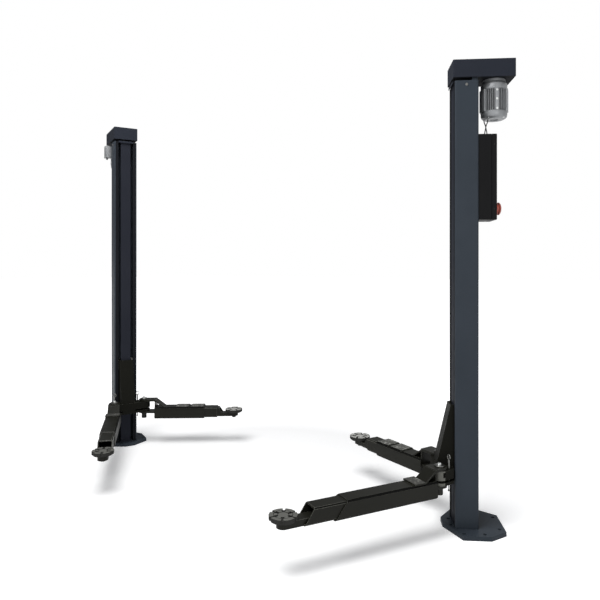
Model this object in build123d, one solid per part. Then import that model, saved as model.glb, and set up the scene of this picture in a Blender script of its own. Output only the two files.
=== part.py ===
"""Two post car lift with turned columns, screw-driven carriages and telescopic swing arms.

Frame: origin on the floor midway between the inner front anchor holes of the two posts, X
towards the power column, Y across the bay towards the short arms, Z up. All lengths are in
millimetres.

Each column is drawn in its own frame: u runs outwards from the slotted face, w runs along
that face (positive on the short arm's side) and z is the height above the floor. The right
column is turned into place and the left one is its mirror image.
"""

from build123d import *
from math import hypot
import os

os.makedirs("parts", exist_ok=True)

# Layout
SLOT_FACE_SPACING = 2788.0
COLUMN_TURN = 28.0
COVER_TOP_Z = 2660.0

# Base plate
BASE_THICKNESS = 25.0
BASE_INNER_REACH = 58.0
BASE_OUTER_REACH = 146.0
BASE_SIDE_REACH = 87.0
BASE_OUTER_CUT_U = 96.0
BASE_OUTER_CUT_W = 70.0
BASE_INNER_CUT_U = 78.0
BASE_INNER_CUT_W = 120.0
BASE_FRONT_CUT_U = 87.0
BASE_FRONT_CUT_W = 163.0
ANCHOR_HOLE_R = 10.0
ANCHOR_EDGE = 30.0
INNER_ANCHOR_INSET = 44.0
INNER_ANCHOR_W = 40.5

# Column
COLUMN_DEPTH = 131.0
COLUMN_WIDTH = 182.0
COLUMN_WALL = 6.0
COLUMN_CORNER_R = 8.0
HEAD_PLATE = 8.0
SLOT_WIDTH = 121.0
LIP_RETURN = 24.0
SPACER_LENGTH = 30.0
SPACER_HEIGHT = 17.0

# Column cap
CAP_SHEET = 3.0
CAP_OVERHANG = 11.0
CAP_DROP = 15.0
CAP_HALF_WIDTH = 60.0

# Slot cover
STRIP_WIDTH = 79.0
STRIP_SHEET = 2.0
STRIP_FOLD = 14.0
STRIP_RECESS = 2.0

# Lead screw
SCREW_U = 68.0
SCREW_R = 19.0
SCREW_JOURNAL_R = 14.0
SCREW_ABOVE_PLATE = 32.0
FOOT_BEARING_R = 34.0
FOOT_BEARING_HEIGHT = 35.0

# Head: drive plate, cover and motor
COVER_INNER_OVERHANG = 11.0
COVER_OUTER_REACH = 202.0
COVER_SIDE_OVERHANG = 4.0
COVER_HEIGHT = 100.0
COVER_SHEET = 2.0
COVER_CORNER_R = 5.0
DRIVE_PLATE_THICKNESS = 8.0
MOTOR_R = 75.0
MOTOR_LENGTH = 222.0
MOTOR_END_GAP = 23.0
MOTOR_SHAFT_R = 14.0
MOTOR_SHAFT_LENGTH = 30.0
MOTOR_LOWER_BELL = 42.0
MOTOR_UPPER_BELL = 58.0
MOTOR_RIM = 14.0
MOTOR_FINS = 36
MOTOR_FIN_DEPTH = 6.0
MOTOR_FIN_WIDTH = 3.0
MOTOR_RIDGES = 4
MOTOR_RIDGE_WIDTH = 20.0
MOTOR_HUB_R = 22.0
MOTOR_HUB_RECESS = 5.0
TERMINAL_BOX_WIDTH = 60.0
TERMINAL_BOX_DEPTH = 50.0
TERMINAL_BOX_HEIGHT = 101.0
TERMINAL_BOX_DROP = 23.0
TERMINAL_GLAND_R = 9.0
TERMINAL_GLAND_LENGTH = 16.0

# Control box
BOX_HEIGHT = 483.0
BOX_DEPTH = 71.0
BOX_LID_DEPTH = 30.0
BOX_SEAM = 3.0
BOX_WIDTH = 170.0
BOX_CORNER_R = 8.0
SWITCH_DEPTH = 38.0
SWITCH_R = 40.0
SWITCH_EDGE = 12.0
SWITCH_RISE = 64.0
CABLE_LENGTH = 95.0
CABLE_R = 3.0
CABLE_SPACING = 16.0
CABLE_CROSSING = 12.0

# Carriage
LUG_BOTTOM_Z = 284.0
LUG_HEIGHT = 82.0
LUG_R = 48.0
LUG_CORNER_R = 10.0
LUG_WALL = 8.0
LUG_PLATE = 16.0
LUG_GAP = 14.0
LUG_BOSS_WALL = 12.0
LUG_WINDOW_WIDTH = 15.0
LUG_WINDOW_HEIGHT = 28.0
SIDE_PLATE = 10.0
SIDE_PLATE_SPACING = 89.0
CARRIAGE_FOOT_U = -98.0
CARRIAGE_CREST_U = -19.0
CARRIAGE_STANDOFF = 7.0
CARRIAGE_RISE = 344.0
FLANGE_PLATE = 10.0
CROSS_PLATE = 15.0
NUT_R = 34.0
NUT_HEIGHT = 70.0
SHOE_HEIGHT = 80.0
SHOE_BACK = 8.0
FRONT_PIVOT_U = -90.0
FRONT_PIVOT_W = -110.0
BACK_PIVOT_U = -55.0
BACK_PIVOT_W = 140.0

# Pins and locks
PIN_R = 20.0
PIN_HEAD_R = 28.0
PIN_HEAD = 8.0
PIN_TAIL = 45.0
LOCK_R = 5.0
LOCK_HEIGHT = 54.0
LOCK_TAIL_R = 3.0
LOCK_TAIL = 41.0
LOCK_BALL_R = 6.0
LOCK_RING_R = 13.0
LOCK_RING_WIRE = 3.0
LOCK_RING_TURN = 20.0
FRONT_LOCK_OFFSET = (54.0, 11.0)
BACK_LOCK_OFFSET = (23.0, -50.0)

# Arms
ARM_DROP = 52.5
ARM_WIDTH = 110.0
ARM_HEIGHT = 95.0
ARM_BEVEL = 10.0
ARM_WALL = 6.0
ARM_END_PLATE = 8.0
FORK_R = 42.0
FORK_PLATE = 15.0
LONG_START = 54.0
LONG_SLOPE = 80.0
LONG_PAD_REACH = 960.0
LONG_BRACKET = 155.0
LONG_INNER_SHOWN = 180.0
LONG_INNER_SETBACK = 203.0
SHORT_START = 97.0
SHORT_SLOPE = 81.0
SHORT_PAD_REACH = 755.0
SHORT_BRACKET = 133.0
SHORT_INNER_SHOWN = 5.0
SHORT_MIDDLE_SHOWN = 107.0
SHORT_MIDDLE_SETBACK = 75.0
SHORT_INNER_SETBACK = 65.0
END_SLANT = 72.0
BRACKET_SLANT = 65.0
STEP_PLATE = 8.0
LONG_STEP_LENGTH = 73.0
SHORT_STEP_SHEET = 5.0
SHORT_STEP_LENGTH = 108.0
SHORT_STEP_GAP = 17.0
SHORT_STEP_MARGIN = 4.0
SHORT_STEPS = 2
RIGHT_LONG_ANGLE = 211.0
RIGHT_SHORT_ANGLE = 127.6
LEFT_LONG_ANGLE = 195.6
LEFT_SHORT_ANGLE = 117.5

# Pads
PAD_R = 71.0
PAD_THICKNESS = 22.0
PAD_TOP_Z = 294.0
DISH_R = 62.0
DISH_THICKNESS = 6.0
PAD_SCREW_R = 15.0
PAD_SCREW_TAIL = 2.0
BRACKET_WIDTH = 70.0

# Clearances
RUN_GAP = 0.3
TUBE_GAP = 0.4
SEAT_GAP = 0.3

# Derived sizes
COVER_BOTTOM_Z = COVER_TOP_Z - COVER_HEIGHT
COLUMN_TOP_Z = COVER_BOTTOM_Z - SPACER_HEIGHT
HEAD_PLATE_Z = COLUMN_TOP_Z - HEAD_PLATE
SCREW_TOP_Z = COVER_BOTTOM_Z + DRIVE_PLATE_THICKNESS + SCREW_ABOVE_PLATE
MOTOR_BOTTOM_Z = COVER_BOTTOM_Z - MOTOR_LENGTH
BOX_TOP_Z = MOTOR_BOTTOM_Z - CABLE_LENGTH
BOX_BOTTOM_Z = BOX_TOP_Z - BOX_HEIGHT
SWITCH_Z = BOX_BOTTOM_Z + SWITCH_RISE
BASE_MIN_U = -BASE_INNER_REACH
BASE_MAX_U = COLUMN_DEPTH + BASE_OUTER_REACH
BASE_HALF_W = COLUMN_WIDTH / 2 + BASE_SIDE_REACH
INNER_ANCHOR_U = BASE_MIN_U + INNER_ANCHOR_INSET
COVER_MIN_U = -COVER_INNER_OVERHANG
COVER_MAX_U = COLUMN_DEPTH + COVER_OUTER_REACH
COVER_HALF_W = COLUMN_WIDTH / 2 + COVER_SIDE_OVERHANG
MOTOR_U = COVER_MAX_U - MOTOR_END_GAP - MOTOR_R
LUG_TOP_Z = LUG_BOTTOM_Z + LUG_HEIGHT
CARRIAGE_HEAD_Z = LUG_TOP_Z + CARRIAGE_RISE
ARM_CENTRE_Z = LUG_BOTTOM_Z + LUG_HEIGHT / 2 - ARM_DROP
ARM_TOP_Z = ARM_CENTRE_Z + ARM_HEIGHT / 2
ARM_BOTTOM_Z = ARM_CENTRE_Z - ARM_HEIGHT / 2
FORK_UNDER_Z = LUG_TOP_Z + SEAT_GAP
FORK_TOP_Z = FORK_UNDER_Z + FORK_PLATE
FORK_LOWER_TOP_Z = LUG_BOTTOM_Z - SEAT_GAP
FORK_LOWER_Z = FORK_LOWER_TOP_Z - FORK_PLATE
LONG_INNER_END = LONG_PAD_REACH - LONG_BRACKET
LONG_OUTER_END = LONG_INNER_END - LONG_INNER_SHOWN
LONG_INNER_START = LONG_START + ARM_END_PLATE + LONG_INNER_SETBACK
SHORT_INNER_END = SHORT_PAD_REACH - SHORT_BRACKET
SHORT_MIDDLE_END = SHORT_INNER_END - SHORT_INNER_SHOWN
SHORT_OUTER_END = SHORT_MIDDLE_END - SHORT_MIDDLE_SHOWN
SHORT_MIDDLE_START = SHORT_START + ARM_END_PLATE + SHORT_MIDDLE_SETBACK
SHORT_INNER_START = SHORT_MIDDLE_START + SHORT_INNER_SETBACK
SIDE_PLATE_OUTER_W = SIDE_PLATE_SPACING / 2 + SIDE_PLATE
CAVITY_BACK_U = COLUMN_DEPTH - COLUMN_WALL
CARRIAGE_BACK_U = CAVITY_BACK_U - SEAT_GAP - SHOE_BACK
SHOE_FRONT_U = LIP_RETURN + SEAT_GAP
SHOE_OUTER_W = COLUMN_WIDTH / 2 - COLUMN_WALL - SEAT_GAP
PAD_BOTTOM_Z = PAD_TOP_Z - PAD_THICKNESS
DISH_BOTTOM_Z = PAD_BOTTOM_Z - DISH_THICKNESS
BOSS_TOP_Z = DISH_BOTTOM_Z - SEAT_GAP


def box(u0, u1, w0, w1, z0, z1):
    """Block between two corners."""
    return Pos((u0 + u1) / 2, (w0 + w1) / 2, (z0 + z1) / 2) * Box(u1 - u0, w1 - w0, z1 - z0)


def rod(radius, u, w, z0, z1):
    """Upright cylinder between two heights."""
    return Pos(u, w, (z0 + z1) / 2) * Cylinder(radius, z1 - z0)


def outline(points, z0, z1):
    """Plate with a straight-edged outline between two heights."""
    face = make_face(Polyline(*points, close=True))
    return extrude(Pos(0, 0, z0) * face, z1 - z0)


def anchor_points():
    """Centres of the anchor holes in the column's frame."""
    outer_u = BASE_MAX_U - ANCHOR_EDGE
    side_w = BASE_HALF_W - ANCHOR_EDGE
    outer_w = BASE_HALF_W - BASE_OUTER_CUT_W - ANCHOR_EDGE
    return [
        (u, side * w)
        for side in (-1, 1)
        for u, w in (
            (outer_u, outer_w),
            (BASE_MAX_U - BASE_OUTER_CUT_U - ANCHOR_EDGE, side_w),
            (BASE_MIN_U + BASE_FRONT_CUT_U + ANCHOR_EDGE / 3, side_w),
            (INNER_ANCHOR_U, INNER_ANCHOR_W),
        )
    ]


def base_plate():
    """Eight-sided floor plate with its anchor holes and the screw's foot bearing."""
    corners = []
    for side, cut_u, cut_w in (
        (-1, BASE_FRONT_CUT_U, BASE_FRONT_CUT_W),
        (1, BASE_INNER_CUT_U, BASE_INNER_CUT_W),
    ):
        half = [
            (BASE_MIN_U, side * (BASE_HALF_W - cut_w)),
            (BASE_MIN_U + cut_u, side * BASE_HALF_W),
            (BASE_MAX_U - BASE_OUTER_CUT_U, side * BASE_HALF_W),
            (BASE_MAX_U, side * (BASE_HALF_W - BASE_OUTER_CUT_W)),
        ]
        corners += half if side < 0 else half[::-1]
    plate = outline(corners, 0, BASE_THICKNESS)
    for u, w in anchor_points():
        plate -= rod(ANCHOR_HOLE_R, u, w, 0, BASE_THICKNESS)
    bearing = rod(FOOT_BEARING_R, SCREW_U, 0, BASE_THICKNESS, BASE_THICKNESS + FOOT_BEARING_HEIGHT)
    bearing -= rod(SCREW_JOURNAL_R + RUN_GAP, SCREW_U, 0, BASE_THICKNESS, BASE_THICKNESS + FOOT_BEARING_HEIGHT)
    return plate + bearing


def column():
    """Folded column section with inward lips, its head plate and two spacers for the drive plate."""
    centre = Pos(COLUMN_DEPTH / 2, 0, 0)
    outer = fillet(Rectangle(COLUMN_DEPTH, COLUMN_WIDTH).vertices(), COLUMN_CORNER_R)
    cavity = fillet(
        Rectangle(COLUMN_DEPTH - 2 * COLUMN_WALL, COLUMN_WIDTH - 2 * COLUMN_WALL).vertices(),
        COLUMN_CORNER_R - COLUMN_WALL,
    )
    section = centre * (outer - cavity)
    section -= Pos(COLUMN_WALL / 2, 0, 0) * Rectangle(3 * COLUMN_WALL, SLOT_WIDTH)
    for side in (-1, 1):
        lip_w = side * (SLOT_WIDTH + COLUMN_WALL) / 2
        section += Pos(LIP_RETURN / 2, lip_w, 0) * Rectangle(LIP_RETURN, COLUMN_WALL)
    body = extrude(Pos(0, 0, BASE_THICKNESS) * section, HEAD_PLATE_Z - BASE_THICKNESS)
    body += extrude(Pos(0, 0, HEAD_PLATE_Z) * centre * outer, HEAD_PLATE)
    spacer = Box(SPACER_LENGTH, SPACER_LENGTH, SPACER_HEIGHT, align=(Align.MAX, Align.MAX, Align.MIN))
    corner = Pos(COLUMN_DEPTH - COLUMN_WALL, COLUMN_WIDTH / 2 - COLUMN_WALL, COLUMN_TOP_Z) * spacer
    body += corner
    body += mirror(corner, about=Plane.XZ)
    return body - rod(SCREW_R + RUN_GAP, SCREW_U, 0, HEAD_PLATE_Z, COLUMN_TOP_Z)


def column_cap():
    """Sheet over the head plate with a lip bent down in front of the slot."""
    back = COLUMN_DEPTH - COLUMN_WALL - SPACER_LENGTH - SEAT_GAP
    profile = [
        (back, COLUMN_TOP_Z),
        (back, COLUMN_TOP_Z + CAP_SHEET),
        (-CAP_OVERHANG, COLUMN_TOP_Z + CAP_SHEET),
        (-CAP_OVERHANG, COLUMN_TOP_Z + CAP_SHEET - CAP_DROP),
        (-CAP_OVERHANG + CAP_SHEET, COLUMN_TOP_Z + CAP_SHEET - CAP_DROP),
        (-CAP_OVERHANG + CAP_SHEET, COLUMN_TOP_Z),
    ]
    cap = extrude(Plane.XZ * make_face(Polyline(*profile, close=True)), CAP_HALF_WIDTH, both=True)
    bend = cap.edges().filter_by(Axis.Y).group_by(Axis.X)[0].sort_by(Axis.Z)[-1]
    cap = fillet(bend, CAP_SHEET * 0.9)
    return cap - rod(SCREW_R + RUN_GAP, SCREW_U, 0, COLUMN_TOP_Z, COLUMN_TOP_Z + CAP_SHEET)


def slot_cover():
    """Folded strip that hides the screw behind the slot."""
    half = STRIP_WIDTH / 2
    back = STRIP_RECESS + STRIP_FOLD
    strip = box(STRIP_RECESS, STRIP_RECESS + STRIP_SHEET, -half, half, BASE_THICKNESS, HEAD_PLATE_Z)
    strip += box(STRIP_RECESS, back, -half, -half + STRIP_SHEET, BASE_THICKNESS, HEAD_PLATE_Z)
    strip += box(STRIP_RECESS, back, half - STRIP_SHEET, half, BASE_THICKNESS, HEAD_PLATE_Z)
    return strip


def lead_screw():
    """Upright screw between the foot bearing and the head."""
    shoulder = BASE_THICKNESS + FOOT_BEARING_HEIGHT + SEAT_GAP
    screw = rod(SCREW_R, SCREW_U, 0, shoulder, SCREW_TOP_Z)
    return screw + rod(SCREW_JOURNAL_R, SCREW_U, 0, BASE_THICKNESS + SEAT_GAP, shoulder)


def drive_plate():
    """Plate on the spacers that carries the motor and closes the cover from below."""
    inset = COVER_SHEET + SEAT_GAP
    plate = box(
        COVER_MIN_U + inset,
        COVER_MAX_U - inset,
        -COVER_HALF_W + inset,
        COVER_HALF_W - inset,
        COVER_BOTTOM_Z,
        COVER_BOTTOM_Z + DRIVE_PLATE_THICKNESS,
    )
    plate = fillet(plate.edges().filter_by(Axis.Z), COVER_CORNER_R - COVER_SHEET)
    plate -= rod(SCREW_R + RUN_GAP, SCREW_U, 0, COVER_BOTTOM_Z, COVER_BOTTOM_Z + DRIVE_PLATE_THICKNESS)
    return plate - rod(
        MOTOR_SHAFT_R + RUN_GAP, MOTOR_U, 0, COVER_BOTTOM_Z, COVER_BOTTOM_Z + DRIVE_PLATE_THICKNESS
    )


def head_cover():
    """Sheet cover over the belt drive, open underneath."""
    shell = box(COVER_MIN_U, COVER_MAX_U, -COVER_HALF_W, COVER_HALF_W, COVER_BOTTOM_Z, COVER_TOP_Z)
    shell = fillet(shell.edges().filter_by(Axis.Z), COVER_CORNER_R)
    shell = fillet(shell.edges().group_by(Axis.Z)[-1], COVER_CORNER_R / 2)
    inside = box(
        COVER_MIN_U + COVER_SHEET,
        COVER_MAX_U - COVER_SHEET,
        -COVER_HALF_W + COVER_SHEET,
        COVER_HALF_W - COVER_SHEET,
        COVER_BOTTOM_Z,
        COVER_TOP_Z - COVER_SHEET,
    )
    inside = fillet(inside.edges().filter_by(Axis.Z), COVER_CORNER_R - COVER_SHEET)
    return shell - inside


def motor():
    """Finned electric motor that hangs under the outer end of the drive plate."""
    top = COVER_BOTTOM_Z
    bottom = MOTOR_BOTTOM_Z
    core = MOTOR_R - MOTOR_FIN_DEPTH
    fins_bottom = bottom + MOTOR_LOWER_BELL
    fins_top = top - MOTOR_UPPER_BELL
    bell = MOTOR_R * 0.97
    profile = Polyline(
        (0, bottom + MOTOR_HUB_RECESS),
        (MOTOR_HUB_R, bottom + MOTOR_HUB_RECESS),
        (MOTOR_HUB_R, bottom),
        (MOTOR_R * 0.7, bottom),
        (MOTOR_R * 0.9, bottom + MOTOR_RIM / 2),
        (bell, bottom + 1.5 * MOTOR_RIM),
        (bell, fins_bottom),
        (core, fins_bottom),
        (core, fins_top),
        (bell, fins_top),
        (bell, top - 2 * MOTOR_RIM),
        (MOTOR_R * 0.86, top - MOTOR_RIM),
        (MOTOR_R * 0.86, top),
        (MOTOR_SHAFT_R, top),
        (MOTOR_SHAFT_R, top + MOTOR_SHAFT_LENGTH),
        (0, top + MOTOR_SHAFT_LENGTH),
        close=True,
    )
    body = revolve(Plane.XZ * make_face(profile), Axis.Z)
    half = MOTOR_FIN_WIDTH / 2
    fin = box(core - half, MOTOR_R, -half, half, fins_bottom, fins_top)
    body += PolarLocations(0, MOTOR_FINS) * fin
    half = MOTOR_RIDGE_WIDTH / 2
    ridge = box(core - half, MOTOR_R, -half, half, fins_bottom, fins_top)
    body += PolarLocations(0, MOTOR_RIDGES) * ridge
    return Pos(MOTOR_U, 0, 0) * body


def terminal_box():
    """Connection box with its gland on the front of a motor."""
    half = TERMINAL_BOX_WIDTH / 2
    top = COVER_BOTTOM_Z - TERMINAL_BOX_DROP
    bottom = top - TERMINAL_BOX_HEIGHT
    front = -MOTOR_R - TERMINAL_BOX_DEPTH
    body = box(MOTOR_U - half, MOTOR_U + half, front, MOTOR_FIN_DEPTH - MOTOR_R, bottom, top)
    body = fillet(body.edges().group_by(Axis.Y)[0], MOTOR_FIN_DEPTH / 2)
    gland_w = front + TERMINAL_BOX_DEPTH / 3
    return body + rod(TERMINAL_GLAND_R, MOTOR_U, gland_w, bottom - TERMINAL_GLAND_LENGTH, bottom)


def control_box():
    """Electrical box on the column's outer face, with a seam round its lid."""
    back = COLUMN_DEPTH
    seam = back + BOX_DEPTH
    front = seam + BOX_LID_DEPTH
    half = BOX_WIDTH / 2
    body = box(back, front, -half, half, BOX_BOTTOM_Z, BOX_TOP_Z)
    body = fillet(body.edges().filter_by(Axis.X), BOX_CORNER_R)
    body = fillet(body.edges().group_by(Axis.X)[-1], BOX_SEAM)
    groove = box(seam, seam + BOX_SEAM, -half, half, BOX_BOTTOM_Z, BOX_TOP_Z)
    inner = box(
        seam, seam + BOX_SEAM, -half + BOX_SEAM, half - BOX_SEAM, BOX_BOTTOM_Z + BOX_SEAM, BOX_TOP_Z - BOX_SEAM
    )
    return body - (groove - fillet(inner.edges().filter_by(Axis.X), BOX_CORNER_R - BOX_SEAM))


def main_switch():
    """Round switch on the lid, its free edge chamfered."""
    start = COLUMN_DEPTH + BOX_DEPTH + BOX_LID_DEPTH
    knob = Cylinder(SWITCH_R, SWITCH_DEPTH)
    knob = chamfer(knob.edges().group_by(Axis.Z)[-1], SWITCH_EDGE)
    return Pos(start + SWITCH_DEPTH / 2, -BOX_WIDTH / 4, SWITCH_Z) * Rot(0, 90, 0) * knob


def motor_cables():
    """Two cables that cross on their way from the motor down to the control box."""
    centre = COLUMN_DEPTH + (BOX_DEPTH + BOX_LID_DEPTH) / 2 + CABLE_CROSSING
    cables = []
    for side in (-1, 1):
        w = side * CABLE_SPACING / 2
        start = (centre + side * CABLE_CROSSING / 2, w, BOX_TOP_Z)
        end = (centre - side * CABLE_CROSSING / 2, w, MOTOR_BOTTOM_Z)
        path = Spline(start, end, tangents=[(0, 0, 1), (0, 0, 1)])
        cables.append(sweep(Plane(start, z_dir=(0, 0, 1)) * Circle(CABLE_R), path))
    return Compound(children=cables)


def lug_outline(inset=0.0):
    """Outline of the hollow crossbeam that carries both pivot pins, drawn in by the inset."""
    corner_u = -CARRIAGE_STANDOFF - LUG_CORNER_R
    circles = [
        Pos(FRONT_PIVOT_U, FRONT_PIVOT_W) * Circle(LUG_R - inset),
        Pos(BACK_PIVOT_U, BACK_PIVOT_W) * Circle(LUG_R - inset),
        Pos(corner_u, FRONT_PIVOT_W + LUG_CORNER_R) * Circle(LUG_CORNER_R - inset),
    ]
    edges = ShapeList()
    for circle in circles:
        edges += circle.edges()
    return make_hull(edges)


def pivots():
    """Centres of the two pivot pins."""
    return (FRONT_PIVOT_U, FRONT_PIVOT_W), (BACK_PIVOT_U, BACK_PIVOT_W)


def lug():
    """Crossbeam: a hollow upper box and a lower plate, with bosses round both pins between them."""
    box_bottom = LUG_BOTTOM_Z + LUG_PLATE + LUG_GAP
    inner_bottom = box_bottom + LUG_WALL
    inner_top = LUG_TOP_Z - LUG_WALL
    body = extrude(Pos(0, 0, LUG_BOTTOM_Z) * lug_outline(), LUG_HEIGHT)
    hollow = extrude(Pos(0, 0, inner_bottom) * lug_outline(LUG_WALL), inner_top - inner_bottom)
    gap = extrude(Pos(0, 0, box_bottom - LUG_GAP) * lug_outline(), LUG_GAP)
    for u, w in pivots():
        hollow -= rod(PIN_R + LUG_BOSS_WALL, u, w, inner_bottom, inner_top)
        gap -= rod(PIN_R + LUG_BOSS_WALL, u, w, LUG_BOTTOM_Z, box_bottom)
    gap -= box(-3 * LUG_R, 0, -SIDE_PLATE_OUTER_W, SIDE_PLATE_OUTER_W, LUG_BOTTOM_Z, box_bottom)
    half = SIDE_PLATE_SPACING / 2
    hollow += box(-2 * LUG_R, 0, -half, half, inner_bottom, inner_top)
    for u, w in (
        (FRONT_PIVOT_U + LUG_WINDOW_WIDTH, FRONT_PIVOT_W - LUG_R),
        (BACK_PIVOT_U, BACK_PIVOT_W + LUG_R),
    ):
        depth = 1.75 * LUG_WALL
        hollow += Pos(u + LUG_WINDOW_WIDTH / 2, w, inner_top - LUG_WINDOW_HEIGHT / 2) * Box(
            LUG_WINDOW_WIDTH, 2 * depth, LUG_WINDOW_HEIGHT
        )
    return body - hollow - gap


def side_plate(side):
    """Side plate that runs from inside the column through the slot to the sloping front."""
    points = [
        (CARRIAGE_BACK_U, LUG_BOTTOM_Z),
        (CARRIAGE_BACK_U, CARRIAGE_HEAD_Z),
        (CARRIAGE_CREST_U, CARRIAGE_HEAD_Z),
        (CARRIAGE_FOOT_U, LUG_TOP_Z),
        (CARRIAGE_FOOT_U, LUG_BOTTOM_Z),
    ]
    plate = extrude(Plane.XZ * make_face(Polyline(*points, close=True)), SIDE_PLATE)
    offset = SIDE_PLATE_OUTER_W if side > 0 else -SIDE_PLATE_OUTER_W + SIDE_PLATE
    return Pos(0, offset, 0) * plate


def carriage():
    """Welded carriage: crossbeam for both arms, side plates through the slot, front flange and nut."""
    body = lug() + side_plate(-1) + side_plate(1)
    half = SIDE_PLATE_OUTER_W
    slope = [
        (CARRIAGE_FOOT_U, LUG_TOP_Z),
        (CARRIAGE_CREST_U, CARRIAGE_HEAD_Z),
        (CARRIAGE_CREST_U + FLANGE_PLATE, CARRIAGE_HEAD_Z),
        (CARRIAGE_FOOT_U + FLANGE_PLATE, LUG_TOP_Z),
    ]
    body += extrude(Plane.XZ * make_face(Polyline(*slope, close=True)), half, both=True)
    inner = SIDE_PLATE_SPACING / 2
    front_u = LIP_RETURN + CARRIAGE_STANDOFF
    for z in (LUG_BOTTOM_Z, CARRIAGE_HEAD_Z - CROSS_PLATE):
        body += box(front_u, CARRIAGE_BACK_U, -inner, inner, z, z + CROSS_PLATE)
    nut_z = LUG_BOTTOM_Z + CROSS_PLATE
    body += rod(NUT_R, SCREW_U, 0, nut_z, nut_z + NUT_HEIGHT)
    body -= rod(SCREW_R + RUN_GAP, SCREW_U, 0, LUG_BOTTOM_Z, CARRIAGE_HEAD_Z)
    for u, w in pivots():
        body -= rod(PIN_R, u, w, LUG_BOTTOM_Z, LUG_TOP_Z)
    for u, w in lock_points():
        body -= rod(LOCK_R, u, w, LUG_BOTTOM_Z, LUG_TOP_Z)
    return body


def guide_shoes():
    """Two moulded shoes that guide the carriage inside the column."""
    shoes = []
    for z in (LUG_BOTTOM_Z, CARRIAGE_HEAD_Z - SHOE_HEIGHT):
        shoe = box(
            SHOE_FRONT_U, CAVITY_BACK_U - SEAT_GAP, -SHOE_OUTER_W, SHOE_OUTER_W, z, z + SHOE_HEIGHT
        )
        shoe -= box(0, CARRIAGE_BACK_U, -SIDE_PLATE_OUTER_W, SIDE_PLATE_OUTER_W, z, z + SHOE_HEIGHT)
        corners = shoe.edges().filter_by(Axis.Z).group_by(Axis.X)[-1]
        shoes.append(fillet(corners, COLUMN_CORNER_R - COLUMN_WALL))
    return Compound(children=shoes)


def pivot_pins():
    """Two headed pins through the crossbeam and the forks of the arms."""
    head_z = FORK_TOP_Z + SEAT_GAP
    pins = []
    for u, w in pivots():
        pin = rod(PIN_R, u, w, FORK_LOWER_Z - PIN_TAIL, head_z)
        head = rod(PIN_HEAD_R, u, w, head_z, head_z + PIN_HEAD)
        pins.append(pin + chamfer(head.edges().group_by(Axis.Z)[-1], PIN_HEAD / 4))
    return Compound(children=pins)


def lock_points():
    """Centres of the two lock rods, each beside its pivot."""
    return [
        (FRONT_PIVOT_U + FRONT_LOCK_OFFSET[0], FRONT_PIVOT_W + FRONT_LOCK_OFFSET[1]),
        (BACK_PIVOT_U + BACK_LOCK_OFFSET[0], BACK_PIVOT_W + BACK_LOCK_OFFSET[1]),
    ]


def arm_locks():
    """Rods with a ring on top and a ball below, which lock the swing of each arm."""
    locks = []
    for u, w in lock_points():
        ball_z = LUG_BOTTOM_Z - LOCK_TAIL
        pin = rod(LOCK_R, u, w, LUG_BOTTOM_Z, LUG_TOP_Z + LOCK_HEIGHT)
        pin += rod(LOCK_TAIL_R, u, w, ball_z, LUG_BOTTOM_Z)
        pin += Pos(u, w, ball_z) * Sphere(LOCK_BALL_R)
        ring_z = LUG_TOP_Z + LOCK_HEIGHT + LOCK_RING_R - LOCK_RING_WIRE
        ring = Pos(u, w, ring_z) * Rot(0, 0, LOCK_RING_TURN) * Rot(0, 90, 0) * Torus(LOCK_RING_R, LOCK_RING_WIRE)
        locks.append(pin + ring)
    return Compound(children=locks)


def tube_section(level):
    """Bevelled tube outline in the YZ plane, level 0 being the outermost tube."""
    shrink = 2 * level * (ARM_WALL + TUBE_GAP)
    width = ARM_WIDTH - shrink
    height = ARM_HEIGHT - shrink
    return chamfer(Rectangle(width, height).vertices(), ARM_BEVEL - level * ARM_WALL / 2)


def tube_bore(level):
    """Inside outline of the tube of that level."""
    return offset(tube_section(level), -ARM_WALL)


def along(section, start, end):
    """Section extruded along the arm at the arm's height."""
    return extrude(Plane((start, 0, ARM_CENTRE_Z), x_dir=(0, 1, 0), z_dir=(1, 0, 0)) * section, end - start)


def tube(level, start, end, slant=0.0, closed_to=None):
    """One telescopic tube; slant leans its mouth outwards at the bottom."""
    body = along(tube_section(level), start, end + slant)
    body -= along(tube_bore(level), start if closed_to is None else closed_to, end + slant)
    if slant:
        height = ARM_HEIGHT / 2
        cut = [
            (end, ARM_CENTRE_Z + height),
            (end + slant, ARM_CENTRE_Z - height),
            (end + 2 * slant, ARM_CENTRE_Z - height),
            (end + 2 * slant, ARM_CENTRE_Z + height),
        ]
        body -= extrude(Plane.XZ * make_face(Polyline(*cut, close=True)), ARM_WIDTH, both=True)
    return body


def fork(start, foot):
    """Two plates that grip the crossbeam, the upper one stepping down from the end plate to the tube."""
    half = ARM_WIDTH / 2 - ARM_BEVEL
    edge = Line((start + ARM_END_PLATE, -half), (start + ARM_END_PLATE, half))
    plan = make_hull(ShapeList(Circle(FORK_R).edges()) + ShapeList(edge.edges()))
    plates = extrude(Pos(0, 0, FORK_LOWER_Z) * plan, FORK_PLATE)
    plates += extrude(Pos(0, 0, FORK_UNDER_Z) * plan, FORK_PLATE)
    plates += box(start, start + ARM_END_PLATE, -half, half, ARM_TOP_Z, FORK_TOP_Z)
    slope = (FORK_TOP_Z - ARM_TOP_Z) / (foot - start)
    rise = ARM_END_PLATE * hypot(1, slope)
    incline = [
        (start, FORK_TOP_Z),
        (foot, ARM_TOP_Z),
        (foot - rise / slope, ARM_TOP_Z),
        (start, FORK_TOP_Z - rise),
    ]
    return plates + extrude(Plane.XZ * make_face(Polyline(*incline, close=True)), half, both=True)


def flat_step(start, end):
    """Flat tread plate across the whole width of the tube."""
    half = ARM_WIDTH / 2
    return box(start, end, -half, half, ARM_TOP_Z, ARM_TOP_Z + STEP_PLATE)


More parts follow.
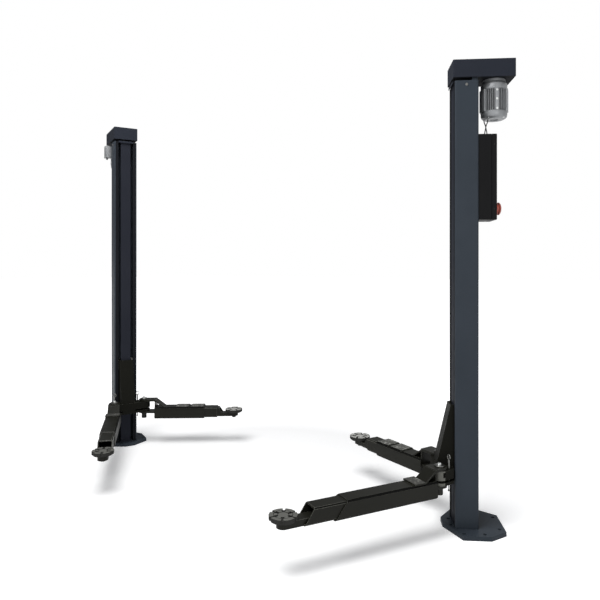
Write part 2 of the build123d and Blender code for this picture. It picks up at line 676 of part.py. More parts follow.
def folded_step(start, end):
    """Tread sheet folded down over both bevels of the tube."""
    sheet = SHORT_STEP_SHEET
    cover = chamfer(
        Rectangle(ARM_WIDTH + 2 * sheet, ARM_HEIGHT + 2 * sheet).vertices(), ARM_BEVEL + sheet / 2
    )
    kept = ARM_TOP_Z - ARM_BEVEL
    half = ARM_WIDTH
    return along(cover - tube_bore(0), start, end) & box(start, end, -half, half, kept, kept + 2 * ARM_BEVEL)


def outer_arm(start, foot, end, slant):
    """Outer tube with its end plate, fork and pin bore."""
    body = tube(0, start, end, slant, start + ARM_END_PLATE) + fork(start, foot)
    return body - rod(PIN_R + RUN_GAP, 0, 0, FORK_LOWER_Z, FORK_TOP_Z)


def long_outer():
    """Outer tube of the long arm, with one tread plate at the fork's foot."""
    foot = LONG_START + LONG_SLOPE
    body = outer_arm(LONG_START, foot, LONG_OUTER_END, END_SLANT)
    return body + flat_step(foot, foot + LONG_STEP_LENGTH)


def short_outer():
    """Outer tube of the short arm, with folded tread sheets counted back from its mouth."""
    foot = SHORT_START + SHORT_SLOPE
    body = outer_arm(SHORT_START, foot, SHORT_OUTER_END, 0.0)
    pitch = SHORT_STEP_LENGTH + SHORT_STEP_GAP
    room = int((SHORT_OUTER_END - SHORT_STEP_MARGIN + SHORT_STEP_GAP - foot) // pitch)
    for index in range(min(SHORT_STEPS, room)):
        last = SHORT_OUTER_END - SHORT_STEP_MARGIN - index * pitch
        body += folded_step(last - SHORT_STEP_LENGTH, last)
    return body


def pad_end(level, start, end, reach):
    """Innermost tube with the round-ended bracket that holds the pad's screw."""
    body = tube(level, start, end, BRACKET_SLANT)
    shrink = level * (ARM_WALL + TUBE_GAP)
    floor_z = ARM_BOTTOM_Z + shrink
    half = min(BRACKET_WIDTH / 2, ARM_WIDTH / 2 - shrink - (ARM_BEVEL - level * ARM_WALL / 2))
    body += box(end - 30, reach, -half, half, floor_z, BOSS_TOP_Z)
    body += rod(half, reach, 0, floor_z, BOSS_TOP_Z)
    return body - rod(PAD_SCREW_R + RUN_GAP, reach, 0, floor_z, BOSS_TOP_Z)


def pad_screw(reach):
    """Height screw with its steel dish."""
    screw = rod(PAD_SCREW_R, reach, 0, ARM_BOTTOM_Z - PAD_SCREW_TAIL, DISH_BOTTOM_Z)
    return screw + rod(DISH_R, reach, 0, DISH_BOTTOM_Z, PAD_BOTTOM_Z)


def rubber_pad(reach):
    """Round rubber pad."""
    pad = rod(PAD_R, reach, 0, PAD_BOTTOM_Z, PAD_TOP_Z)
    return fillet(pad.edges().filter_by(GeomType.CIRCLE), 2)


def long_arm():
    """Two-section arm along +u from its pivot."""
    return {
        "long_arm_outer": long_outer(),
        "long_arm_inner": pad_end(1, LONG_INNER_START, LONG_INNER_END, LONG_PAD_REACH),
        "long_arm_pad_screw": pad_screw(LONG_PAD_REACH),
        "long_arm_pad": rubber_pad(LONG_PAD_REACH),
    }


def short_arm():
    """Three-section arm along +u from its pivot."""
    return {
        "short_arm_outer": short_outer(),
        "short_arm_middle": tube(1, SHORT_MIDDLE_START, SHORT_MIDDLE_END),
        "short_arm_inner": pad_end(2, SHORT_INNER_START, SHORT_INNER_END, SHORT_PAD_REACH),
        "short_arm_pad_screw": pad_screw(SHORT_PAD_REACH),
        "short_arm_pad": rubber_pad(SHORT_PAD_REACH),
    }


def side_pieces(long_angle, short_angle):
    """Every piece of one post in the column's frame."""
    pieces = {
        "base_plate": base_plate(),
        "column": column(),
        "column_cap": column_cap(),
        "slot_cover": slot_cover(),
        "lead_screw": lead_screw(),
        "drive_plate": drive_plate(),
        "head_cover": head_cover(),
        "motor": motor(),
        "carriage": carriage(),
        "guide_shoes": guide_shoes(),
        "pivot_pins": pivot_pins(),
        "arm_locks": arm_locks(),
    }
    for arm, u, w, angle in (
        (long_arm(), FRONT_PIVOT_U, FRONT_PIVOT_W, long_angle),
        (short_arm(), BACK_PIVOT_U, BACK_PIVOT_W, short_angle),
    ):
        for name, shape in arm.items():
            pieces[name] = Pos(u, w, 0) * Rot(0, 0, angle) * shape
    return pieces


def write(name, shape):
    """Save one named piece."""
    export_step(shape, f"parts/{name}.step")


def main():
    """Build both posts and write every piece."""
    turn = Rot(0, 0, COLUMN_TURN)
    anchor = turn * Pos(INNER_ANCHOR_U, INNER_ANCHOR_W, 0)
    place = Pos(SLOT_FACE_SPACING / 2, -anchor.position.Y, 0) * turn
    right = side_pieces(RIGHT_LONG_ANGLE, RIGHT_SHORT_ANGLE)
    right["control_box"] = control_box()
    right["main_switch"] = main_switch()
    right["motor_cables"] = motor_cables()
    for name, shape in right.items():
        write(f"right_{name}", place * shape)
    left = side_pieces(LEFT_LONG_ANGLE, LEFT_SHORT_ANGLE)
    left["motor"] += terminal_box()
    for name, shape in left.items():
        write(f"left_{name}", mirror(place * shape, about=Plane.YZ))


main()
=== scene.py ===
"""Looks of a two post car lift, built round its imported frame.

The frame is in metres, with X towards the post that carries the control box, Y across the bay
towards the short arms and Z up. Each post has a frame of its own in millimetres: u runs out of
the slotted face of the column, w along that face and z up from the floor. The left post is the
mirror image of the right one.
"""

import logging
from dataclasses import dataclass, field
from enum import Enum
from math import degrees, pi, radians
from typing import Any, Callable, Iterable

import bmesh
import bpy
from bmesh.types import BMesh, BMFace
from mathutils import Matrix, Vector


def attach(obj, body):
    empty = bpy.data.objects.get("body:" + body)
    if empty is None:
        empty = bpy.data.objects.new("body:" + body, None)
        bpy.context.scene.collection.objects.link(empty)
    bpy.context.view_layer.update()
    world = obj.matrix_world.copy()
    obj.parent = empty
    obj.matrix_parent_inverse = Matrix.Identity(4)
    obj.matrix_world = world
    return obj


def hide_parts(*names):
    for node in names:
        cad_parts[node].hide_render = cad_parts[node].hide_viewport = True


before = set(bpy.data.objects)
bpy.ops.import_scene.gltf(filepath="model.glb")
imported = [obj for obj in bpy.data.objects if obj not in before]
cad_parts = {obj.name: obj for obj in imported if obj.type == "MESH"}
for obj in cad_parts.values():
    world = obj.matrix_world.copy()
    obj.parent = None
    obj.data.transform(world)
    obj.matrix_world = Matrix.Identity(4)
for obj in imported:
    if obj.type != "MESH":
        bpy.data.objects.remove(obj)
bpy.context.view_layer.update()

LOG = logging.getLogger("car_lift")
MM = 0.001

# an edge of a CAD node that turns by more than this is rounded
SHARP_DEG = 27.0
# an edge that turns by less than this is shaded smooth
SMOOTH_DEG = 34.0
# triangles that turn by less than this are one face
FLAT_DEG = 0.8
# vertices as near as this are one, in metres on a CAD node and in millimetres on a turned part
WELD_M = 2e-5
WELD_MM = 1e-4
# a face whose unit normal has more than this along z looks up
UP = 0.9
# a hexagon's width over the flats divided by the radius of its corners
HEX_RATIO = 1.732

Point = tuple[float, float, float]
Profile = list[tuple[float, float]]


class Side(Enum):
    """The two posts, with the sign of X on which each one stands."""

    RIGHT = 1
    LEFT = -1

    @property
    def word(self) -> str:
        """Prefix of the side's node and body names."""
        return self.name.lower()


class Arm(Enum):
    """The two swing arms of a carriage, with the pivot's u and w in millimetres."""

    LONG = (-90.0, -110.0)
    SHORT = (-55.0, 140.0)

    @property
    def word(self) -> str:
        """Middle part of the arm's node and body names."""
        return self.name.lower()


# angle from the post's u to each arm in the pose of the photograph, in degrees
ARM_ANGLES = {
    (Side.RIGHT, Arm.LONG): 211.0,
    (Side.RIGHT, Arm.SHORT): 127.6,
    (Side.LEFT, Arm.LONG): 195.6,
    (Side.LEFT, Arm.SHORT): 117.5,
}
# turn of the columns, and where the right one's slotted face stands in millimetres
COLUMN_TURN = 28.0
SLOT_FACE_X = 1394.0
POST_SHIFT_Y = -29.187


def linear(code: str) -> tuple[float, float, float, float]:
    """Turn an sRGB hex colour into the linear colour that the shaders use.

    Args:
        code: Colour as six hex digits, with or without a leading hash.

    Returns:
        Red, green, blue and alpha, all from 0 to 1.
    """
    digits = code.lstrip("#")
    channels = [int(digits[i : i + 2], 16) / 255 for i in (0, 2, 4)]
    return (*(c / 12.92 if c <= 0.04045 else ((c + 0.055) / 1.055) ** 2.4 for c in channels), 1.0)


def post_matrix(side: Side) -> Matrix:
    """Matrix from a post's own millimetres to the row frame in metres.

    Args:
        side: Which post it is.

    Returns:
        The matrix, a mirror image for the left post.
    """
    turn = Matrix.Rotation(radians(COLUMN_TURN), 4, "Z")
    place = Matrix.Translation((SLOT_FACE_X * MM, POST_SHIFT_Y * MM, 0)) @ turn @ Matrix.Scale(MM, 4)
    return place if side is Side.RIGHT else Matrix.Scale(-1, 4, (1, 0, 0)) @ place


def arm_matrix(side: Side, arm: Arm) -> Matrix:
    """Matrix from an arm's own millimetres, x along the arm from its pivot, to the row frame.

    Args:
        side: Which post carries the arm.
        arm: Which arm it is.

    Returns:
        The matrix.
    """
    turn = Matrix.Rotation(radians(ARM_ANGLES[side, arm]), 4, "Z")
    return post_matrix(side) @ Matrix.Translation((*arm.value, 0)) @ turn


# ---------------------------------------------------------------- finishes


def add(tree: bpy.types.NodeTree, kind: str, settings: dict[Any, Any],
        links: dict[Any, Any] | None = None) -> bpy.types.Node:
    """Add one shader node with its settings and links.

    Args:
        tree: Node tree that gets the node.
        kind: Blender's type name of the node.
        settings: Input socket (name or number) or property of the node, and its value.
        links: Input socket (name or number) and the output socket that feeds it.

    Returns:
        The new node.
    """
    item = tree.nodes.new(kind)
    for key, value in settings.items():
        if isinstance(key, int) or key in item.inputs:
            item.inputs[key].default_value = value
        else:
            setattr(item, key, value)
    for key, source in (links or {}).items():
        tree.links.new(source, item.inputs[key])
    return item


def start_material(name: str) -> tuple[bpy.types.Material, bpy.types.NodeTree, bpy.types.Node]:
    """Make an empty material with its output and object coordinates.

    Args:
        name: Name of the material.

    Returns:
        The material, its node tree and the coordinate node.
    """
    material = bpy.data.materials.new(name)
    material.use_nodes = True
    tree = material.node_tree
    tree.nodes.clear()
    return material, tree, add(tree, "ShaderNodeTexCoord", {})


def texture(tree: bpy.types.NodeTree, where: bpy.types.Node, kind: str, size_mm: float,
            **settings: float) -> bpy.types.Node:
    """Add a noise or cell texture in object coordinates.

    Args:
        tree: Node tree that gets the node.
        where: The coordinate node.
        kind: "Noise" or "Voronoi".
        size_mm: Distance from one feature to the next on the real surface.
        settings: Further inputs of the texture.

    Returns:
        The texture node.
    """
    return add(tree, f"ShaderNodeTex{kind}", {"Scale": 1 / (size_mm * MM), **settings},
               {"Vector": where.outputs["Object"]})


def blend(tree: bpy.types.NodeTree, low: str, high: str, share: bpy.types.NodeSocket) -> bpy.types.NodeSocket:
    """Blend two hex colours by a share from 0 to 1, and return the colour's socket."""
    colours = {"data_type": "RGBA", 6: linear(low), 7: linear(high)}
    return add(tree, "ShaderNodeMix", colours, {0: share}).outputs[2]


def vary(tree: bpy.types.NodeTree, source: bpy.types.NodeSocket, low: float, high: float) -> bpy.types.NodeSocket:
    """Stretch the middle of a noise, 0.3 to 0.7, to a range from low to high."""
    span = {"From Min": 0.3, "From Max": 0.7, "To Min": low, "To Max": high}
    return add(tree, "ShaderNodeMapRange", span, {"Value": source}).outputs["Result"]


def bump(tree: bpy.types.NodeTree, height: bpy.types.NodeSocket, strength: float,
         depth_mm: float) -> bpy.types.NodeSocket:
    """Turn a height into a bump that is depth_mm deep, and return the normal's socket."""
    settings = {"Strength": strength, "Distance": depth_mm * MM}
    return add(tree, "ShaderNodeBump", settings, {"Height": height}).outputs["Normal"]


def surface(tree: bpy.types.NodeTree, settings: dict[str, float], **links: bpy.types.NodeSocket) -> None:
    """Add the shader and the material's output.

    Args:
        tree: Node tree that gets the nodes.
        settings: Even values of the shader.
        links: Sockets that feed the shader, with an underscore for a space in the input's name.
    """
    sockets = {key.replace("_", " "): socket for key, socket in links.items()}
    shader = add(tree, "ShaderNodeBsdfPrincipled", settings, sockets)
    add(tree, "ShaderNodeOutputMaterial", {}, {"Surface": shader.outputs["BSDF"]})


@dataclass(frozen=True)
class PowderCoat:
    """Baked powder paint on steel: an even colour under a soft gloss with a faint orange peel.

    The peel is about 5 mm from crest to crest, the shine drifts over about 60 mm, and a drift
    of tone over 320 mm keeps big plates from looking like flat colour.
    """

    name: str
    colour: str
    pale: str
    roughness: float = 0.36
    specular: float = 0.3
    coat: float = 0.08
    peel_mm: float = 5.0
    peel_depth_mm: float = 0.012
    shine_mm: float = 60.0
    drift_mm: float = 320.0
    glossier: float = 0.03
    duller: float = 0.05

    def build(self) -> bpy.types.Material:
        """Build the material.

        Returns:
            The material.
        """
        material, tree, where = start_material(self.name)
        drift = texture(tree, where, "Noise", self.drift_mm, Detail=2.0, Roughness=0.5)
        peel = texture(tree, where, "Noise", self.peel_mm, Detail=1.0)
        wear = texture(tree, where, "Noise", self.shine_mm, Detail=3.0, Roughness=0.5)
        low, high = self.roughness - self.glossier, self.roughness + self.duller
        even = {"IOR": 1.5, "Specular IOR Level": self.specular, "Coat Weight": self.coat, "Coat Roughness": 0.1}
        surface(tree, even, Base_Color=blend(tree, self.colour, self.pale, drift.outputs["Fac"]),
                Roughness=vary(tree, wear.outputs["Fac"], low, high),
                Normal=bump(tree, peel.outputs["Fac"], 0.3, self.peel_depth_mm))
        return material


@dataclass(frozen=True)
class PlatedSteel:
    """Plated, ground or blackened steel, with soft mottling of its shine and a scratch of 0.9 mm."""

    name: str
    colour: str
    pale: str
    roughness: float = 0.32
    grain_mm: float = 12.0
    scratch_mm: float = 0.9
    scratch_depth_mm: float = 0.02
    glossier: float = 0.08
    duller: float = 0.12

    def build(self) -> bpy.types.Material:
        """Build the material.

        Returns:
            The material.
        """
        material, tree, where = start_material(self.name)
        mottle = texture(tree, where, "Noise", self.grain_mm, Detail=4.0, Roughness=0.6)
        fine = texture(tree, where, "Noise", self.scratch_mm, Detail=2.0)
        low, high = self.roughness - self.glossier, self.roughness + self.duller
        surface(tree, {"Metallic": 1.0}, Base_Color=blend(tree, self.colour, self.pale, mottle.outputs["Fac"]),
                Roughness=vary(tree, mottle.outputs["Fac"], low, high),
                Normal=bump(tree, fine.outputs["Fac"], 0.2, self.scratch_depth_mm))
        return material


@dataclass(frozen=True)
class CastEnamel:
    """Aluminium-coloured enamel on a casting: satin, cloudy over 30 mm and grainy at 1.6 mm."""

    name: str
    colour: str
    pale: str
    roughness: float = 0.42
    grain_mm: float = 1.6
    grain_depth_mm: float = 0.06
    cloud_mm: float = 30.0
    metallic: float = 0.35

    def build(self) -> bpy.types.Material:
        """Build the material.

        Returns:
            The material.
        """
        material, tree, where = start_material(self.name)
        cloud = texture(tree, where, "Noise", self.cloud_mm, Detail=4.0)
        grain = texture(tree, where, "Noise", self.grain_mm, Detail=3.0)
        surface(tree, {"Metallic": self.metallic, "Roughness": self.roughness, "IOR": 1.5},
                Base_Color=blend(tree, self.colour, self.pale, cloud.outputs["Fac"]),
                Normal=bump(tree, grain.outputs["Fac"], 0.5, self.grain_depth_mm))
        return material


@dataclass(frozen=True)
class MouldedPart:
    """Moulded rubber or plastic: one body colour with a spark-eroded grain, cloudy over 25 mm."""

    name: str
    colour: str
    pale: str
    roughness: float
    grain_mm: float
    grain_depth_mm: float
    ior: float = 1.5
    cloud_mm: float = 25.0

    def build(self) -> bpy.types.Material:
        """Build the material.

        Returns:
            The material.
        """
        material, tree, where = start_material(self.name)
        cloud = texture(tree, where, "Noise", self.cloud_mm, Detail=4.0)
        grain = texture(tree, where, "Voronoi", self.grain_mm)
        surface(tree, {"Roughness": self.roughness, "IOR": self.ior},
                Base_Color=blend(tree, self.colour, self.pale, cloud.outputs["Fac"]),
                Normal=bump(tree, grain.outputs["Distance"], 0.5, self.grain_depth_mm))
        return material


@dataclass(frozen=True)
class GritSheet:
    """Anti-slip sheet: pale grit in a dark binder.

    Real grit is under 2 mm across, too fine to show, so it is drawn as grains of about 9 mm.
    """

    name: str
    binder: str
    dust: str
    grit: str
    grain_mm: float = 9.0
    cloud_mm: float = 22.0
    share: float = 0.3
    grit_depth_mm: float = 0.4
    roughness: float = 0.62
    ior: float = 1.45

    def build(self) -> bpy.types.Material:
        """Build the material.

        Returns:
            The material.
        """
        material, tree, where = start_material(self.name)
        cloud = texture(tree, where, "Noise", self.cloud_mm, Detail=3.0)
        cells = texture(tree, where, "Voronoi", self.grain_mm)
        tone = blend(tree, self.binder, self.dust, cloud.outputs["Fac"])
        pick = add(tree, "ShaderNodeSeparateColor", {}, {0: cells.outputs["Color"]})
        bright = add(tree, "ShaderNodeMapRange", {"From Min": 1 - self.share, "From Max": 1.0},
                     {"Value": pick.outputs[0]})
        mixed = add(tree, "ShaderNodeMix", {"data_type": "RGBA", 7: linear(self.grit)},
                    {0: bright.outputs["Result"], 6: tone})
        surface(tree, {"Roughness": self.roughness, "IOR": self.ior}, Base_Color=mixed.outputs[2],
                Normal=bump(tree, cells.outputs["Distance"], 0.5, self.grit_depth_mm))
        return material


class Finish(Enum):
    """Every finish on the lift."""

    # powder coated steel of the columns: a cold dark grey with a soft sheen
    ANTHRACITE = PowderCoat("anthracite_powder_coat", "#2e343a", "#363c44", 0.42, 0.07, 0.0)
    # the same paint on the thin sheet of the head covers, a little duller
    COVER = PowderCoat("anthracite_sheet_paint", "#22252c", "#282b33", 0.5, 0.05, 0.0)
    # black inside the columns, on their inward lips and on the drive plates: painted shade in the columns' hollows and
    # under the head covers
    HOLLOW_SHADE_BLACK = PowderCoat("painted_shade_slot_black", "#17181b", "#1d1e21", 0.6, 0.02, 0.0)
    # grey-black coating of the steel strip that closes the slot
    STRIP = PowderCoat("slot_strip_coating", "#22242b", "#282a31", 0.6, 0.03, 0.0)
    # black paint of the carriage and arms, a shade warmer than the columns
    BLACK = PowderCoat("black_gloss_paint", "#171713", "#1f1f1a", 0.36, 0.1, 0.0, 6.0, 0.02)
    # the same paint made paler on the rounded edges: a painted highlight along them
    BLACK_EDGE_HIGHLIGHT = PowderCoat("edge_highlight_black_paint", "#4c4c46", "#5e5e57", 0.34, 0.3, 0.0, 6.0, 0.02)
    # thicker, duller black of the welded carriages
    CARRIAGE_BLACK = PowderCoat("satin_black_paint", "#12120f", "#181814", 0.52, 0.04, 0.0, 6.0, 0.02)
    # the folded corners of the arms, painted darker and duller: painted shade along the slanted corner faces
    BLACK_PAINTED_SHADE = PowderCoat("painted_shade_black_paint", "#0b0b0a", "#10100f", 0.6, 0.03, 0.0, 6.0, 0.02)
    # dark wrinkle paint of the electrical box
    BOX_BLACK = PowderCoat("black_box_paint", "#101011", "#151516", 0.5, 0.06, 0.0, 2.5, 0.02)
    # zinc plated bolts, washers and cap screws
    ZINC = PlatedSteel("zinc_plated_steel", "#b4b6b6", "#d4d5d3", 0.3)
    # ground and greased steel of the lead screws
    GROUND = PlatedSteel("ground_steel", "#8f9090", "#b3b4b2", 0.25, 6.0)
    # blackened steel of the pins, pad screws and dishes: hardly any shine
    BLACKENED = PlatedSteel("blackened_steel", "#232322", "#30302e", 0.5, 8.0)
    # oiled steel of the lock rods, darker than the plated bolts
    OILED = PlatedSteel("oiled_steel", "#5c5c5a", "#7d7d7a", 0.35, 6.0)
    # silver enamel of the motor castings
    MOTOR = CastEnamel("silver_motor_enamel", "#7c7e80", "#8e9092")
    # the same enamel darkened deep between the fins: painted shade in the gaps
    MOTOR_PAINTED_SHADE = CastEnamel("painted_shade_motor_enamel", "#303132", "#3c3d3e", 0.6)
    # vulcanised rubber of the lifting pads
    RUBBER = MouldedPart("vulcanised_rubber", "#1e1e1c", "#292927", 0.75, 1.3, 0.1, 1.3)
    # crests of the pad's blocks, scuffed pale by use
    RUBBER_SCUFFED = MouldedPart("scuffed_rubber", "#474744", "#5f5f5a", 0.66, 1.3, 0.1, 1.4)
    # crests of the short arms' pads, worn almost white
    RUBBER_WORN = MouldedPart("worn_pale_rubber", "#8e8e8a", "#b0b0ac", 0.6, 1.6, 0.15)
    # gritted anti-slip sheet on the treads
    TREAD = GritSheet("gritted_tread_sheet", "#353532", "#51514d", "#92928d")
    # the same sheet on the long arms, with its grit trodden in
    TREAD_TRODDEN = GritSheet("trodden_tread_sheet", "#2a2a27", "#3d3d39", "#757570", share=0.16)
    # nylon guide shoes
    NYLON = MouldedPart("natural_nylon", "#8b8a84", "#9b9a94", 0.5, 1.0, 0.03)
    # sheath of the motor leads and their glands
    SHEATH = MouldedPart("black_cable_sheath", "#1a1a1a", "#242424", 0.5, 0.8, 0.02)
    # red ABS of the main switch
    SWITCH_RED = MouldedPart("red_abs", "#8f3626", "#a3402c", 0.4, 0.7, 0.01)


MATERIALS: dict[Finish, bpy.types.Material] = {}


def material_of(finish: Finish) -> bpy.types.Material:
    """The finish's material, built the first time that it is asked for.

    Args:
        finish: Which finish it is.

    Returns:
        The material.
    """
    if finish not in MATERIALS:
        MATERIALS[finish] = finish.value.build()
    return MATERIALS[finish]


# ---------------------------------------------------------------- mesh helpers


def ride_mesh(bm: BMesh, name: str, finishes: Iterable[Finish], body: str) -> bpy.types.Object:
    """Turn a finished shape in metres into an object that rides on a body.

    Args:
        bm: The shape in the row frame. It is freed.
        name: Name of the new object.
        finishes: Finish of each material slot.
        body: CAD body that carries the object.

    Returns:
        The new object.
    """
    mesh = bpy.data.meshes.new(name)
    bm.to_mesh(mesh)
    bm.free()
    mesh.shade_smooth()
    mesh.set_sharp_from_angle(angle=radians(SMOOTH_DEG))
    for finish in finishes:
        mesh.materials.append(material_of(finish))
    piece = bpy.data.objects.new(name, mesh)
    bpy.context.scene.collection.objects.link(piece)
    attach(piece, body)
    return piece


def to_piece(bm: BMesh, name: str, place: Matrix, finishes: Iterable[Finish], body: str) -> bpy.types.Object:
    """Turn a bmesh in local millimetres into a piece that rides on a body.

    Args:
        bm: The shape. It is freed.
        name: Name of the new object.
        place: Matrix from the shape's millimetres to the row frame.
        finishes: Finish of each material slot.
        body: CAD body that carries the piece.

    Returns:
        The new object.
    """
    bmesh.ops.transform(bm, matrix=place, verts=bm.verts)
    if place.determinant() < 0:
        bmesh.ops.reverse_faces(bm, faces=bm.faces)
    return ride_mesh(bm, name, finishes, body)


def shift(u: float, w: float, z: float) -> Matrix:
    """Translation in millimetres."""
    return Matrix.Translation((u, w, z))


def add_block(bm: BMesh, low: Point, high: Point, edge: float, segments: int = 2) -> None:
    """Add a block between two corners, with its edges rounded.

    Args:
        bm: Shape that gets the block.
        low: Lowest corner in millimetres.
        high: Highest corner in millimetres.
        edge: Radius of the rounded edges.
        segments: Segments of each rounded edge.
    """
    size = [h - l for l, h in zip(low, high)]
    middle = [(h + l) / 2 for l, h in zip(low, high)]
    verts = bmesh.ops.create_cube(bm, size=1.0, matrix=shift(*middle) @ Matrix.Diagonal((*size, 1)))["verts"]
    edges = list({e for v in verts for e in v.link_edges})
    bmesh.ops.bevel(bm, geom=edges, offset=edge, segments=segments, profile=0.5, affect="EDGES", material=-1)


def add_turned(bm: BMesh, profile: Profile, place: Matrix, steps: int) -> None:
    """Add a turned shape from its half profile.

    Args:
        bm: Shape that gets the turned part.
        profile: Radius and height of each corner, from the axis to the axis.
        place: Matrix from the turned part's own frame, with its axis on z.
        steps: Facets round the axis.
    """
    part = bmesh.new()
    verts = [part.verts.new((r, 0, z)) for r, z in profile]
    edges = [part.edges.new(pair) for pair in zip(verts, verts[1:])]
    bmesh.ops.spin(part, geom=verts + edges, axis=(0, 0, 1), cent=(0, 0, 0), angle=2 * pi, steps=steps,
                   use_merge=True, use_duplicate=False)
    bmesh.ops.remove_doubles(part, verts=part.verts, dist=WELD_MM)
    bmesh.ops.recalc_face_normals(part, faces=part.faces)
    bmesh.ops.transform(part, matrix=place, verts=part.verts)
    join(bm, part)


def join(bm: BMesh, part: BMesh) -> None:
    """Put a part into a shape.

    Args:
        bm: Shape that grows.
        part: Part that is added. It is freed.
    """
    mesh = bpy.data.meshes.new("part")
    part.to_mesh(mesh)
    part.free()
    bm.from_mesh(mesh)
    bpy.data.meshes.remove(mesh)


def add_hex(bm: BMesh, place: Matrix, across: float, height: float) -> None:
    """Add a hexagon head with its edges chamfered.

    Args:
        bm: Shape that gets the hexagon.
        place: Matrix from the hexagon's own frame, which stands on z = 0.
        across: Width over the flats.
        height: Height.
    """
    part = bmesh.new()
    corner = across / HEX_RATIO
    result = bmesh.ops.create_cone(part, cap_ends=True, segments=6, radius1=corner, radius2=corner, depth=height)
    bmesh.ops.translate(part, vec=(0, 0, height / 2), verts=result["verts"])
    rim = [e for f in part.faces if f.normal.z > UP for e in f.edges]
    bmesh.ops.bevel(part, geom=rim, offset=across * 0.06, segments=2, profile=0.5, affect="EDGES", material=-1)
    bmesh.ops.transform(part, matrix=place, verts=part.verts)
    join(bm, part)


def add_washer(bm: BMesh, place: Matrix, radius: float, thickness: float, bore: float) -> None:
    """Add a flat washer that lies on z = 0.

    Args:
        bm: Shape that gets the washer.
        place: Matrix from the washer's own frame.
        radius: Outer radius.
        thickness: Thickness.
        bore: Radius of its hole.
    """
    rim = min(0.6, thickness / 3)
    crest = [(radius, thickness - rim), (radius - rim, thickness), (bore, thickness)]
    profile = [(bore, 0), (radius, 0), *crest, (bore, 0)]
    add_turned(bm, profile, place, 32)


def softened_copy(node: str, name: str, edge_mm: float, finishes: Iterable[Finish], body: str, segments: int = 2,
                  paint: Callable[[BMFace], int] | None = None, highlight_slot: int = 0) -> bpy.types.Object:
    """Copy a CAD node, merge its triangles into faces and round its sharp edges.

    Args:
        node: Name of the CAD node, which the copy replaces.
        name: Name of the new piece.
        edge_mm: Radius given to the sharp edges.
        finishes: Finish of each material slot.
        body: CAD body that carries the node.
        segments: Segments of each rounded edge.
        paint: Gives the material slot of a face, where there is more than one.
        highlight_slot: Material slot of the rounded edges, or 0 where they look like the rest.

    Returns:
        The new piece.
    """
    bm = bmesh.new()
    bm.from_mesh(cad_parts[node].data)
    bmesh.ops.remove_doubles(bm, verts=bm.verts, dist=WELD_M)
    bmesh.ops.dissolve_limit(bm, angle_limit=radians(FLAT_DEG), verts=bm.verts, edges=bm.edges,
                             use_dissolve_boundaries=False)
    sharp = [e for e in bm.edges if len(e.link_faces) == 2 and e.calc_face_angle(0.0) > radians(SHARP_DEG)]
    rounded = bmesh.ops.bevel(bm, geom=sharp, offset=edge_mm * MM, segments=segments, profile=0.5, affect="EDGES",
                              material=-1, clamp_overlap=True)
    for face in bm.faces:
        face.material_index = paint(face) if paint else 0
    # the rounded edges take the paler finish: a painted highlight
    for face in rounded["faces"] if highlight_slot else ():
        face.material_index = highlight_slot
    piece = ride_mesh(bm, name, finishes, body)
    weighted = piece.modifiers.new("even_normals", "WEIGHTED_NORMAL")
    weighted.keep_sharp = True
    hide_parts(node)
    return piece


# ---------------------------------------------------------------- sub-assemblies


@dataclass
class Post:
    """One post: base plate, column, covers, drive plate, screw and head screws."""

    side: Side
    wall: float = 6.0
    depth: float = 131.0
    slot_half: float = 60.8
    column_half_w: float = 91.0
    screw_u: float = 64.0
    screw_z: float = 2520.0
    pieces: list[bpy.types.Object] = field(default_factory=list)

    def column_hollow_shade(self, face: BMFace) -> int:
        """Paint everything inside the column black, as painted shade in its hollow.

        Args:
            face: A face in metres in the row frame.

        Returns:
            The material slot.
        """
        middle = post_matrix(self.side).inverted() @ face.calc_center_median()
        inner = self.wall + 1
        inside = inner < middle.x < self.depth - inner and abs(middle.y) < self.column_half_w - inner
        lips = abs(middle.y) < self.slot_half and middle.x < self.depth - inner
        return int(inside or lips)

    def steelwork(self) -> None:
        """Dress the plates, column, covers and screw."""
        word = self.side.word
        for node, edge, finish in (
            ("base_plate", 1.6, Finish.ANTHRACITE),
            ("column_cap", 0.6, Finish.COVER),
            ("slot_cover", 0.5, Finish.STRIP),
            # the drive plate is painted black: painted shade under the head cover
            ("drive_plate", 0.8, Finish.HOLLOW_SHADE_BLACK),
            ("head_cover", 0.7, Finish.COVER),
            ("lead_screw", 0.8, Finish.GROUND),
        ):
            self.pieces.append(softened_copy(f"{word}_{node}", f"{word}_{node}_steel", edge, [finish], "posts"))
        # the column's inside takes the black paint: painted shade in its hollow
        column = softened_copy(f"{word}_column", f"{word}_column_steel", 1.2, [Finish.ANTHRACITE, Finish.HOLLOW_SHADE_BLACK],
                               "posts", paint=self.column_hollow_shade)
        self.pieces.append(column)

    def head_screws(self) -> None:
        """Set one round screw high on each side of the column."""
        bm = bmesh.new()
        for side in (-1, 1):
            place = shift(self.screw_u, side * self.column_half_w, self.screw_z)
            place = place @ Matrix.Rotation(-side * pi / 2, 4, "X")
            add_turned(bm, [(0, 0), (8, 0), (8, 1.5), (6.5, 3.5), (3, 3.8), (2.6, 2.4), (0, 2.4)], place, 28)
        piece = to_piece(bm, f"{self.side.word}_head_screws", post_matrix(self.side), [Finish.OILED], "posts")
        self.pieces.append(piece)

    def build(self) -> list[bpy.types.Object]:
        """Build the post's pieces.

        Returns:
            The pieces.
        """
        self.steelwork()
        self.head_screws()
        return self.pieces


